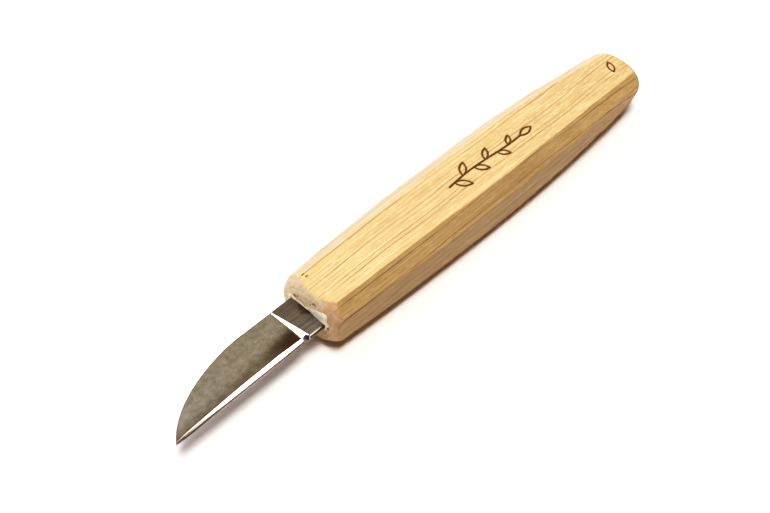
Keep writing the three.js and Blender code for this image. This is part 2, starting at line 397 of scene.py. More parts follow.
def arc(start, end, bulge, steps=14):
    """Points from start to end along a bow whose height is `bulge` times the chord, to the left."""
    start, end = np.array(start, float), np.array(end, float)
    chord = end - start
    left = np.array([-chord[1], chord[0]])
    share = np.linspace(0, 1, steps)[:, None]
    return start + chord * share + left * bulge * 4 * share * (1 - share)


def leaf(base, angle, length, fat):
    """The two curved sides of a leaf that grows from base at an angle."""
    base = np.array(base, float)
    tip = base + length * np.array([math.cos(math.radians(angle)), math.sin(math.radians(angle))])
    return [arc(base, tip, fat), arc(base, tip, -fat)]


def twig_strokes():
    """A swaying stem with leaves on alternate sides and one at its end."""
    stem_x = np.linspace(TWIG["start"], TWIG["end"] - END_LEAF["length"], 40)
    share = (stem_x - TWIG["start"]) / (TWIG["end"] - TWIG["start"])
    stem_y = TWIG["y"] + TWIG["sway"] * np.sin(share * 2 * math.pi)
    stem = np.stack([stem_x, stem_y], -1)
    strokes = [stem]
    for number in range(TWIG["leaves"]):
        place = int(3 + number * 35 / TWIG["leaves"])
        side = 1 if number % 2 else -1
        length = TWIG["leaf"] * (1 - TWIG["shrink"] * number)
        strokes += leaf(stem[place], side * TWIG["spread"], length, LEAF_FAT)
    return strokes + leaf(stem[-1], END_LEAF["turn"], END_LEAF["length"], LEAF_FAT)


def butt_strokes():
    turn, half = BUTT_LEAF["turn"], BUTT_LEAF["length"] / 2
    way = np.array([math.cos(math.radians(turn)), math.sin(math.radians(turn))])
    middle = np.array([BUTT_LEAF["x"], BUTT_LEAF["y"]])
    return leaf(middle - way * half, turn, BUTT_LEAF["length"], BUTT_LEAF["fat"])


def stroke_distance(x, y, strokes):
    """Distance from each point to the nearest stroke."""
    nearest = np.full(x.shape, 1e3)
    for stroke in strokes:
        for a, b in zip(stroke[:-1], stroke[1:]):
            chord = b - a
            share = np.clip(((x - a[0]) * chord[0] + (y - a[1]) * chord[1]) / (chord @ chord), 0, 1)
            nearest = np.minimum(nearest, np.hypot(x - a[0] - share * chord[0], y - a[1] - share * chord[1]))
    return nearest


def refine(piece, low, high, cuts):
    """Splits the edges of the top facet inside a rectangle, so that fine marks can be cut there."""
    def inside(vertex):
        x, y, z = vertex.co / MM
        return low[0] < x < high[0] and low[1] < y < high[1] and z > TOP_FACET_Z

    body = bmesh.new()
    body.from_mesh(piece.data)
    edges = [edge for edge in body.edges if all(inside(vertex) for vertex in edge.verts)]
    bmesh.ops.subdivide_edges(body, edges=edges, cuts=cuts, use_grid_fill=True)
    body.to_mesh(piece.data)
    body.free()


def set_attribute(piece, name, values):
    layer = piece.data.attributes.new(name, "FLOAT", "POINT")
    layer.data.foreach_set("value", np.asarray(values, np.float32))


def vertex_array(piece):
    flat = np.empty(len(piece.data.vertices) * 3)
    piece.data.vertices.foreach_get("co", flat)
    return flat.reshape(-1, 3) / MM


def move_vertices(piece, points):
    piece.data.vertices.foreach_set("co", (points * MM).ravel())
    piece.data.update()


def burn_marks(piece):
    """Sinks the burned strokes into the top facet and notes how charred each point is."""
    points = vertex_array(piece)
    x, y, z = points.T
    burn = np.zeros(len(points))
    glow = np.zeros(len(points))
    on_top = z > TOP_FACET_Z
    for strokes, width, box in (
        (twig_strokes(), TWIG["stroke"], (9, 45)),
        (butt_strokes(), BUTT_LEAF["stroke"], (75, 83)),
    ):
        near = on_top & (x > box[0]) & (x < box[1]) & (np.abs(y) < 5.5)
        gap = stroke_distance(x[near], y[near], strokes)
        gap = gap + 0.05 * ripple(x[near], y[near], 0.5, 0.5, 33)
        burn[near] = np.maximum(burn[near], 1 - smooth_step(gap, width * 0.75, width * 1.25))
        glow[near] = np.maximum(glow[near], 1 - smooth_step(gap, width, width * 3.2))
    for nick_x, nick_y, long, wide in NICKS:
        gap = np.hypot((x - nick_x) / long, (y - nick_y) / wide)
        dent = (1 - smooth_step(gap, 0.5, 1.1)) * on_top
        burn = np.maximum(burn, 0.85 * dent)
    points[:, 2] -= MARK_DEPTH * burn
    move_vertices(piece, points)
    set_attribute(piece, "burn", burn)
    set_attribute(piece, "scorch", glow)


def make_handle():
    rings, deepest, butt, attributes = handle_rings()
    piece = grid_object("ash_handle", rings, first=deepest, last=butt)
    for name, values in attributes.items():
        set_attribute(piece, name, values)
    for low, high, cuts in FINE_PATCHES:
        refine(piece, low, high, cuts)
    burn_marks(piece)
    return piece


# ---- Blade ----

def spine_line(along):
    """The upper outline: straight, then a Bezier curve down to the point."""
    angle, ease = math.radians(POINT_EASE["angle"]), POINT_EASE["length"]
    curve = np.array([
        (SPINE_STRAIGHT, SPINE_Y),
        (SPINE_STRAIGHT + SPINE_EASE, SPINE_Y),
        (REACH - ease * math.cos(angle), EDGE_Y["point"] + ease * math.sin(angle)),
        (REACH, EDGE_Y["point"]),
    ])
    t = np.linspace(0, 1, 400)[:, None]
    line = ((1 - t) ** 3 * curve[0] + 3 * (1 - t) ** 2 * t * curve[1]
            + 3 * (1 - t) * t ** 2 * curve[2] + t ** 3 * curve[3])
    y = np.interp(along, line[:, 0], line[:, 1])
    return np.where(along < SPINE_STRAIGHT, SPINE_Y, y)


def edge_line(along):
    """The lower outline: ricasso, choil notch, then the straight cutting edge."""
    share = (along - CHOIL["at"]) / (REACH - CHOIL["at"])
    y = EDGE_Y["heel"] + (EDGE_Y["point"] - EDGE_Y["heel"]) * share
    across = CHOIL["radius"] ** 2 - (along - CHOIL["at"]) ** 2
    notch = CHOIL["y"] + np.sqrt(np.clip(across, 0, None))
    y = np.where(along < CHOIL["at"], RICASSO_Y, y)
    return np.where(across > 0, np.maximum(notch, y), y)


def bevel_height(along):
    """The honed bevel with the steeper land below it: widest near the heel, narrowest at the point."""
    return np.interp(along, BEVEL_HEIGHT["along"], BEVEL_HEIGHT["height"])


def half_thickness(along, y, height, land):
    """Half the blade's thickness over its flat: full stock, plunge, ground face, honed bevel and land."""
    drop = HALF_THICKNESS - HALF_AT_BEVEL
    share = (y - BEVEL_TOP_Y) / (SPINE_Y - BEVEL_TOP_Y)
    face = HALF_AT_BEVEL + (drop - GRIND_STEP) * share + FACE_BELLY * np.sin(np.clip(share, 0, 1) * math.pi)
    spine_part = np.clip((SPINE_Y - y) / (SPINE_Y - BEVEL_TOP_Y), 0, 1.2)
    plunge_start = PLUNGE["spine"] + (PLUNGE["edge"] - PLUNGE["spine"]) * spine_part
    mouth = PLUNGE["spine"] + PLUNGE["mouth"]
    plunge_end = mouth + (PLUNGE["face"] - mouth) * spine_part
    fall = np.clip((along - plunge_start) / (plunge_end - plunge_start + 1e-6), -1, 3)
    plunge = HALF_THICKNESS - (HALF_THICKNESS - face) * fall
    ground = smooth_max(face, plunge, PLUNGE["rounding"])
    ground = smooth_min(np.full_like(plunge, HALF_THICKNESS), ground, 0.006)
    low = edge_line(np.maximum(along, CHOIL["at"] + CHOIL["radius"] + 0.01))
    at_top = np.interp(low + height, (BEVEL_TOP_Y, SPINE_Y), (HALF_AT_BEVEL, HALF_THICKNESS))
    honed = HALF_AT_LAND + (at_top - HALF_AT_LAND) * (y - low - land) / (height - land)
    bevel = np.minimum(honed, HALF_AT_EDGE + (HALF_AT_LAND - HALF_AT_EDGE) * (y - low) / land)
    worn = np.clip((y - RICASSO_Y) / WORN_EDGE["width"], 0, 1)
    worn = WORN_EDGE["foot"] + (HALF_THICKNESS - WORN_EDGE["foot"]) * worn ** WORN_EDGE["power"]
    worn = np.where((along > -0.5) & (along < CHOIL["at"] - CHOIL["radius"]), worn, 9)
    bevel = np.where(along > CHOIL["at"] + 0.5 * CHOIL["radius"], bevel, worn)
    return np.clip(smooth_min(ground, bevel, 0.004), 0.01, HALF_THICKNESS)


def blade_rings():
    """Every cross-section from the tang's end to the point, closer together at the notch and plunge."""
    tang = -np.array([TANG_LENGTH, TANG_LENGTH - 0.4, TANG_LENGTH - 1.2, TANG_LENGTH - 3, 30, 8, 4.06])
    ricasso = np.linspace(-4, CHOIL["at"] - CHOIL["radius"] - 0.02, 60)
    notch = CHOIL["at"] - CHOIL["radius"] * np.cos(np.linspace(0, math.pi, 45))
    face = np.linspace(CHOIL["at"] + CHOIL["radius"] + 0.02, 13, 56)
    rest = np.linspace(13, REACH - 1.5, 176)[1:]
    point = REACH - 1.5 * (1 - np.linspace(0, 1, 16) ** 0.8)[1:-1]
    stations = np.concatenate([tang, ricasso, notch, face, rest, point, [REACH - 0.03]])
    rings, marks = zip(*[blade_section(float(along)) for along in stations])
    return np.stack(rings), np.stack(marks, 1)


def blade_section(along):
    """One closed section of the blade, with its point attributes: spine rim, honed bevel and notch wall."""
    if along < -TANG["shoulder"]:
        end = (-along - TANG["shoulder"]) / (TANG_LENGTH - TANG["shoulder"])
        half = TANG["half"] + (TANG["end_half"] - TANG["half"]) * end
        round_end = np.clip((TANG_LENGTH + along) / 2.0, 0.02, 1)
        half = half * math.sqrt(1 - (1 - round_end) ** 2 * 0.9)
        low, high = TANG["y"] - half, TANG["y"] + half
    else:
        low, high = float(edge_line(np.array(along))), float(spine_line(np.array(along)))
    total = high - low
    height = min(float(bevel_height(along)), 0.75 * total)
    land = min(LAND, 0.4 * height) * float(np.interp(along, (38, REACH), (1, 0.5)))
    low_z, high_z = half_thickness(np.full(2, along), np.array([low, high]), height, land)
    edge_round, spine_round = min(0.08, 0.4 * low_z), min(0.13, 0.45 * high_z, 0.2 * total)
    inner_y = low + np.concatenate([
        np.linspace(edge_round, land, 5)[:-1],
        np.linspace(land, height, 10),
        np.linspace(height + 0.02, total - spine_round, 64),
    ])
    inner_z = half_thickness(np.full_like(inner_y, along), inner_y, height, land)
    turn = np.linspace(0, math.pi / 2, 4)[:-1]
    edge_y = low + edge_round * (1 - np.cos(turn))
    edge_z = inner_z[0] - edge_round * (1 - np.sin(turn))
    spine_y = high - spine_round * (1 - np.cos(turn))
    spine_z = inner_z[-1] - spine_round * (1 - np.sin(turn))
    upper_y = np.concatenate([[low], edge_y, inner_y, spine_y[::-1]])
    upper_z = np.concatenate([[edge_z[0] * 0.5], edge_z, inner_z, spine_z[::-1]])
    loop_y = np.concatenate([upper_y, [high], upper_y[::-1]])
    loop_z = np.concatenate([upper_z, [0.0], -upper_z[::-1]])
    x = np.full_like(loop_y, FRONT_X - along)
    rim, honed, wall = np.zeros((3, len(upper_y)))
    rim[-4:] = (0.5, 1, 1, 1)
    heel = CHOIL["at"] + CHOIL["radius"] + 0.01
    above_edge = inner_y - float(edge_line(np.array(max(along, heel))))
    on_bevel = (above_edge > land - 1e-6) & (above_edge < height + 1e-6)
    honed[4:4 + len(inner_y)] = np.where(on_bevel, 1, 0.6 * (above_edge < land)) * (along > CHOIL["at"])
    wall[:3] = CHOIL["at"] - CHOIL["radius"] < along < CHOIL["at"] + CHOIL["radius"]
    marks = np.stack([rim, honed, wall])
    marks = np.concatenate([marks, [[1], [0], [0]], marks[:, ::-1]], 1)
    return np.stack([x, loop_y, loop_z + MIDDLE_Z], -1), marks


def make_blade():
    rings, marks = blade_rings()
    tip = [FRONT_X - REACH, EDGE_Y["point"], MIDDLE_Z]
    tang_end = rings[0].mean(0) + [0.02, 0, 0]
    piece = grid_object("steel_blade", rings, first=tang_end, last=tip)
    for name, values in zip(("rim", "honed", "wall"), marks):
        set_attribute(piece, name, np.append(values.ravel(), [0, 0]))
    return piece


# ---- Adhesive ----

GLUE_COLUMNS = 260
GLUE_PLAY = 0.04
GLUE_SPREAD_LIMITS = (0.16, 4.4)


def rounded_slot(half_width, half_height, turn, power, y):
    scale = (np.abs(np.cos(turn)) ** power + np.abs(np.sin(turn)) ** power) ** (-1 / power)
    return y + half_width * np.cos(turn) * scale, half_height * np.sin(turn) * scale


def glue_spread(turn, wall_y):
    """How far the smear reaches out over the front face: mostly above the blade, towards the edge side."""
    upward = smooth_step(np.sin(turn), 0.05, 0.9)
    edgeward = smooth_step(-np.cos(turn), -0.15, 0.7)
    spread = 0.3 + 0.2 * wander(turn * 3, 1, 401)
    spread = spread + 0.12 * wander(turn * 14, 1, 403) + 0.08 * wander(turn * 33, 1, 406)
    spread = spread + upward * (0.55 + 0.5 * wander(turn * 5, 1, 402) + 3.3 * edgeward)
    spread = spread + 0.35 * edgeward * (1 - upward)
    low_corner = smooth_step(wall_y, -3.6, -5.2)
    return np.clip(spread * (1 - 0.6 * low_corner), *GLUE_SPREAD_LIMITS)


def glue_gap(turn, wall_y):
    """Where the bead sinks below the face: beside the middle of the blade and at its lower corner."""
    gap = smooth_step(wall_y, -0.9, -0.5) * (1 - smooth_step(wall_y, 1.6, 3.4)) * (np.sin(turn) > 0)
    return np.maximum(gap, 1.3 * smooth_step(-wall_y, 5.3, 5.6) * (np.sin(turn) > -0.3))


def make_adhesive():
    """The bed round the tang, with the bead and the smear that came out over the front face."""
    turn = np.linspace(0, 2 * math.pi, GLUE_COLUMNS, endpoint=False)
    middle = (RICASSO_Y + SPINE_Y) / 2
    half = (SPINE_Y - RICASSO_Y) / 2 + GLUE_PLAY
    inner_y, inner_z = rounded_slot(half, HALF_THICKNESS + 0.03, turn, 16, middle)
    wall_y, wall_z = rounded_slot(SLOT["half_width"] - GLUE_PLAY, SLOT["half_height"] - GLUE_PLAY, turn,
                                  SLOT["power"], SLOT["y"])
    spread, gap = glue_spread(turn, wall_y), glue_gap(turn, wall_y)
    outward = np.stack([(wall_y - SLOT["y"]) / SLOT["half_width"] * 0.8, wall_z / SLOT["half_height"]], -1)
    outward = outward / np.linalg.norm(outward, axis=1, keepdims=True)
    rings = []

    def ring(y, z, depth):
        rings.append(np.stack([FRONT_X + depth + 0 * y, y, z + MIDDLE_Z], -1))

    tang_y = TANG["y"] + (inner_y - middle) * (TANG["half"] + 0.06) / half
    bed_y = SLOT["y"] + (wall_y - SLOT["y"]) * (TANG["half"] + 0.4) / SLOT["half_width"]
    bed_end = TANG_LENGTH - 3
    ring(tang_y, inner_z, bed_end)
    ring(tang_y, inner_z, 5.5)
    ring(inner_y, inner_z, 4.2)
    ring(inner_y, inner_z, 1.4)
    bead = 0.1 + 0.08 * wander(turn * 9, 1, 404)
    ring(inner_y, inner_z, -0.55 * bead + 1.0 * gap)
    for share, lift in ((0.12, 1.0), (0.3, 0.85), (0.55, 0.5)):
        sunk = gap * max(0.0, 0.75 - 2.2 * share)
        y, z = inner_y + outward[:, 0] * share * 0.5, inner_z + outward[:, 1] * share * 0.5
        ring(y, z, -0.08 - lift * bead + sunk)
    for share in (0.12, 0.3, 0.48, 0.65, 0.8, 0.92, 1.0):
        y = wall_y + outward[:, 0] * spread * share
        z = wall_z + outward[:, 1] * spread * share
        film = (0.07 + 0.05 * ripple(y, z, 0.6, 0.5, 405)) * (1 - smooth_step(share, 0.7, 1)) + 0.015
        sunk = np.minimum(0.6 * pit_depth(y, z), film)
        ring(y, z, -0.05 * (1 - share ** 3) - face_height(y, z) - film + sunk)
    y = wall_y + outward[:, 0] * spread * 0.97
    z = wall_z + outward[:, 1] * spread * 0.97
    ring(y, z, -face_height(y, z) + 0.05)
    ring(wall_y, wall_z, 0.12)
    ring(wall_y, wall_z, 4.3)
    ring(bed_y, wall_z, 5.4)
    ring(bed_y, wall_z, bed_end)
    return grid_object("cured_adhesive", np.stack(rings), closed=True)


# ---- Materials ----

class Graph:
    """Fills a node tree: each method adds a node, feeds its inputs and returns its output."""

    def __init__(self, tree):
        self.tree = tree
        self.tree.nodes.clear()

    def feed(self, socket, value):
        if isinstance(value, bpy.types.NodeSocket):
            self.tree.links.new(value, socket)
        else:
            socket.default_value = value

    def add(self, kind, inputs=(), out=0, **settings):
        made = self.tree.nodes.new("ShaderNode" + kind)
        for key, value in settings.items():
            setattr(made, key, value)
        for key, value in dict(inputs).items():
            self.feed(made.inputs[key], value)
        return made.outputs[out] if made.outputs else None

    def place(self):
        return self.add("TexCoord", out="Object")

    def stretch(self, vector, scale, turn=(0, 0, 0)):
        return self.add("Mapping", {"Vector": vector, "Scale": scale, "Rotation": turn})

    def split(self, vector):
        made = self.tree.nodes.new("ShaderNodeSeparateXYZ")
        self.feed(made.inputs[0], vector)
        return made.outputs

    def noise(self, vector, scale=1.0, detail=2.0, rough=0.5):
        return self.add("TexNoise", {"Vector": vector, "Scale": scale, "Detail": detail, "Roughness": rough})

    def grain(self, vector, scales, detail=2.0, rough=0.5):
        """Noise stretched along the object: a scale for each axis."""
        return self.noise(self.stretch(vector, scales), 1.0, detail, rough)

    def math(self, operation, a, b=0.0, c=0.0):
        return self.add("Math", {0: a, 1: b, 2: c}, operation=operation)

    def times(self, a, b):
        return self.math("MULTIPLY", a, b)

    def plus(self, a, b):
        return self.math("ADD", a, b)

    def minus(self, a, b):
        return self.math("SUBTRACT", a, b)

    def span(self, value, low, high, start=0.0, end=1.0):
        return self.add("MapRange", {"Value": value, "From Min": low, "From Max": high, "To Min": start,
                                     "To Max": end}, interpolation_type="SMOOTHSTEP")

    def ramp(self, value, stops):
        made = self.tree.nodes.new("ShaderNodeValToRGB")
        points = made.color_ramp.elements
        while len(points) < len(stops):
            points.new(0.5)
        for point, (position, colour) in zip(points, stops):
            point.position = position
            point.color = (*colour, 1)
        self.feed(made.inputs[0], value)
        return made.outputs[0]

    def blend(self, share, a, b, mode="MIX"):
        made = self.tree.nodes.new("ShaderNodeMix")
        made.data_type = "RGBA"
        made.blend_type = mode
        self.feed(made.inputs["Factor"], share)
        colours = [socket for socket in made.inputs if socket.type == "RGBA"]
        self.feed(colours[0], a if isinstance(a, bpy.types.NodeSocket) else (*a, 1))
        self.feed(colours[1], b if isinstance(b, bpy.types.NodeSocket) else (*b, 1))
        return [socket for socket in made.outputs if socket.type == "RGBA"][0]

    def layers(self, base, *layers):
        """Lays (share, colour) pairs over the base, one after another."""
        for share, colour in layers:
            base = self.blend(share, base, colour)
        return base

    def attribute(self, name):
        return self.add("Attribute", out="Fac", attribute_name=name)

    def bump(self, height, strength, distance, normal=None):
        inputs = {"Height": height, "Strength": strength, "Distance": distance}
        if normal is not None:
            inputs["Normal"] = normal
        return self.add("Bump", inputs)


class MaterialGraph(Graph):
    """A new material's graph, with one principled shader whose inputs are named in set()."""

    def __init__(self, name):
        self.material = bpy.data.materials.new(name)
        self.material.use_nodes = True
        super().__init__(self.material.node_tree)
        self.shader = self.tree.nodes.new("ShaderNodeBsdfPrincipled")
        self.add("OutputMaterial", {"Surface": self.shader.outputs[0]})

    def set(self, **values):
        for key, value in values.items():
            self.feed(self.shader.inputs[key.replace("_", " ")], value)


# In metres: where the heart of the tree lay beside the handle, and the width of one year ring.
HEART = dict(y=0.052, z=0.034)
RING = 0.00102
LEAN = (0, math.radians(0.5), math.radians(0.45))


def ash_rings(g, leaning):
    """Shares of soft early wood, of broken dark ring lines, and of the dashes of open pores along them."""
    _, y, z = g.split(leaning)
    across = g.minus(y, HEART["y"])
    upward = g.minus(z, HEART["z"])
    squares = g.plus(g.times(across, across), g.times(upward, upward))
    sway = g.grain(leaning, (24, 42, 42), 1.0)
    shiver = g.grain(leaning, (110, 420, 420))
    rings = g.plus(g.math("DIVIDE", g.math("SQRT", squares), RING), g.times(sway, 2.4))
    rings = g.plus(rings, g.times(shiver, 0.3))
    phase = g.math("FRACT", rings)
    tone = g.add("TexWhiteNoise", {"W": g.math("FLOOR", rings)}, noise_dimensions="1D")
    early = g.times(g.span(phase, 0.0, 0.2), g.span(phase, 0.9, 0.3))
    line = g.times(g.span(phase, 0.0, 0.05), g.span(phase, 0.27, 0.12))
    line = g.times(line, g.span(tone, 0.1, 0.9, 0.15, 1.0))
    broken = g.span(g.grain(leaning, (55, 900, 900), 2.0, 0.6), 0.36, 0.58)
    line = g.times(line, g.math("MULTIPLY_ADD", broken, 0.55, 0.45))
    dashes = g.span(g.grain(leaning, (170, 3400, 3400), 2.0, 0.5), 0.56, 0.66)
    pores = g.times(dashes, g.plus(g.times(line, 0.8), 0.22))
    return early, line, pores


def ash_wood(g, leaning, fibre, early, line, pores):
    """The colour of the long grain: clouds, streaks, fibre and flecks, then the ring lines and pores."""
    fleck = g.grain(leaning, (420, 2600, 2600), 2.0, 0.6)
    streak = g.grain(leaning, (26, 1500, 1500), 3.0, 0.6)
    cloud = g.grain(leaning, (24, 110, 110), 3.0)
    wood = g.ramp(cloud, [(0.3, (0.465, 0.322, 0.155)), (0.5, (0.505, 0.355, 0.176)),
                          (0.72, (0.54, 0.392, 0.204))])
    return g.layers(
        wood,
        (g.times(early, 0.3), (0.41, 0.275, 0.112)),
        (g.span(streak, 0.54, 0.68, 0.0, 0.5), (0.37, 0.24, 0.095)),
        (g.span(streak, 0.46, 0.32, 0.0, 0.55), (0.62, 0.48, 0.285)),
        (g.span(fibre, 0.42, 0.7, 0.0, 0.3), (0.39, 0.262, 0.108)),
        (g.span(fleck, 0.53, 0.72, 0.0, 0.4), (0.37, 0.25, 0.105)),
        (g.span(fleck, 0.47, 0.28, 0.0, 0.4), (0.66, 0.52, 0.33)),
        (g.times(line, 0.92), (0.165, 0.098, 0.026)),
        (g.times(pores, 0.85), (0.17, 0.10, 0.03)),
    )


def ash_painted_shade(g, wood, x, facing_left, facing_up):
    """Painted shade: the flanks are painted darker, warmest towards the butt; the +Y bevel is painted greyer
    as a stand-in for its pale sheen.
    """
    sideways = g.span(facing_up, 0.97, 0.39)
    wood = g.blend(sideways, wood, (0.87, 0.78, 0.68), "MULTIPLY")
    # Painted shade: the flanks painted warmer and darker towards the butt.
    butt_flank_shade = g.times(g.span(x, 0.045, 0.09), sideways)
    wood = g.blend(butt_flank_shade, wood, (1.12, 1.0, 0.76), "MULTIPLY")
    # Painted sheen: the +Y bevel painted greyer.
    return g.blend(g.span(facing_left, 0.3, 0.65, 0.0, 0.4), wood, (0.315, 0.295, 0.245))


def ash_cut_ends(g, wood, place, cut, line, facing_butt):
    """End grain on the cut ends, with pale filler sanded over most of the front, painted brighter where it
    faces straight forward, and pits painted dark as shade.
    """
    x, y, _ = g.split(place)
    open_pores = g.span(g.grain(place, (900, 3000, 3000)), 0.55, 0.68)
    fibres = g.noise(place, 700, 3.0)
    end_grain = g.ramp(fibres, [(0.35, (0.365, 0.222, 0.125)), (0.65, (0.485, 0.325, 0.20))])
    end_grain = g.layers(end_grain, (g.times(line, 0.5), (0.27, 0.16, 0.085)),
                         (g.times(open_pores, 0.4), (0.24, 0.14, 0.08)))
    front = g.times(cut, g.span(x, (FRONT_X + 4.5) * MM, (FRONT_X + 3.5) * MM))
    patchy = g.math("MULTIPLY_ADD", g.noise(place, 380, 2.0), 0.004, g.minus(y, 0.002))
    front = g.times(front, g.span(patchy, -0.0042, -0.0026, 0.15, 0.9))
    filler = g.ramp(g.noise(place, 900, 4.0, 0.6), [(0.3, (0.305, 0.23, 0.15)), (0.5, (0.375, 0.305, 0.22)),
                                                   (0.7, (0.43, 0.365, 0.275))])
    # Painted light: the filler is painted brighter where the face looks straight forward.
    filler = g.blend(g.span(facing_butt, -0.93, -0.995), filler, (1.62, 1.60, 1.52), "MULTIPLY")
    # The pit layer is painted shade in the hollows of the front face.
    return g.layers(wood, (g.times(cut, 0.85), end_grain), (front, filler),
                    (g.times(g.attribute("pit"), 0.85), (0.24, 0.13, 0.055)))


def ash_material():
    """Straight-grained ash with flanks painted browner as shade, end grain and filler at the cut ends, and
    burned marks.
    """
    g = MaterialGraph("oiled ash")
    place = g.place()
    leaning = g.stretch(place, (1, 1, 1), LEAN)
    early, line, pores = ash_rings(g, leaning)
    fibre = g.grain(leaning, (60, 4200, 4200), 3.0, 0.6)
    facing_butt, facing_left, facing_up = g.split(g.add("TexCoord", out="Normal"))
    cut, burn = g.attribute("cut"), g.attribute("burn")
    wood = ash_wood(g, leaning, fibre, early, line, pores)
    # Painted shade on the flanks and painted sheen on the +Y bevel.
    wood = ash_painted_shade(g, wood, g.split(leaning)[0], facing_left, facing_up)
    wood = ash_cut_ends(g, wood, place, cut, line, facing_butt)
    wood = g.blend(g.times(g.attribute("scorch"), 0.25), wood, (0.33, 0.18, 0.06))
    char = g.blend(g.noise(place, 2600, 2.0), (0.045, 0.019, 0.0), (0.09, 0.043, 0.002))
    wood = g.blend(g.times(burn, 0.97), wood, char)
    height = g.plus(g.times(pores, -1.0), g.times(fibre, 0.4))
    height = g.plus(height, g.times(line, -0.5))
    knife_cuts = g.grain(place, (45, 170, 170))
    normal = g.bump(knife_cuts, 0.2, 0.0003, g.bump(height, 0.5, 0.00006))
    rough = g.plus(g.span(fibre, 0.2, 0.8, 0.42, 0.54), g.times(burn, 0.25))
    rough = g.plus(rough, g.times(g.math("MAXIMUM", pores, cut), 0.14))
    g.set(Base_Color=wood, Roughness=rough, Normal=normal, IOR=1.5)
    return g.material


def face_colour(g, along, grime, speck, haze):
    """The ground face: mottled olive, painted darker and greyer towards the point, where less light is
    mirrored.
    """
    colour = g.ramp(grime, [(0.3, (0.63, 0.60, 0.52)), (0.5, (0.72, 0.685, 0.60)),
                            (0.7, (0.79, 0.755, 0.675))])
    return g.layers(
        colour,
        (g.span(haze, 0.35, 0.65, 0.0, 0.25), (0.62, 0.57, 0.47)),
        (g.span(speck, 0.56, 0.8, 0.0, 0.4), (0.95, 0.92, 0.84)),
        (g.span(speck, 0.44, 0.25, 0.0, 0.3), (0.50, 0.46, 0.37)),
        # Painted reflection: darker and greyer towards the point.
        (g.span(along, 14, 42, 0.0, 0.55), (0.53, 0.515, 0.48)),
    )


def heel_shade(g, along, down):
    """The share of painted dark brown reflection on the lower half of the ground face, strongest at the heel.
    """
    shade_top = g.math("MULTIPLY_ADD", along, 0.095, 3.6)
    lower = g.span(g.minus(down, shade_top), 0.0, 3.6)
    heel = g.span(along, 21, 9)
    return g.times(lower, g.math("MULTIPLY_ADD", heel, 0.46, 0.48))


def ricasso_colour(g, along, down, drawn):
    """Dull steel streaked lengthwise, browner by the spine and painted darker by the wood as shade."""
    dull = g.blend(g.span(drawn, 0.3, 0.7), (0.27, 0.25, 0.225), (0.50, 0.465, 0.41))
    dull = g.blend(g.span(down, 9.0, 2.5, 0.0, 0.5), dull, (0.27, 0.235, 0.20))
    # Painted shade next to the wood.
    return g.blend(g.span(along, 3.5, 0.5, 0.0, 0.45), dull, (0.20, 0.165, 0.18))


def wood_side_painted_shade(g, place, along, down):
    """Painted shade: a blotchy dark band on the steel beside the wood, reaching furthest out of the wood in
    the middle.
    """
    blot = g.grain(place, (380, 420, 420), 3.0, 0.6)
    spread = g.math("MULTIPLY_ADD", blot, 3.0, -1.5)
    off_middle = g.math("ABSOLUTE", g.minus(down, 4.4))
    reach = g.math("MULTIPLY_ADD", g.span(off_middle, 3.2, 0.6), 2.0, -0.3)
    return g.span(g.plus(along, spread), g.plus(reach, 0.4), g.minus(reach, 0.9))


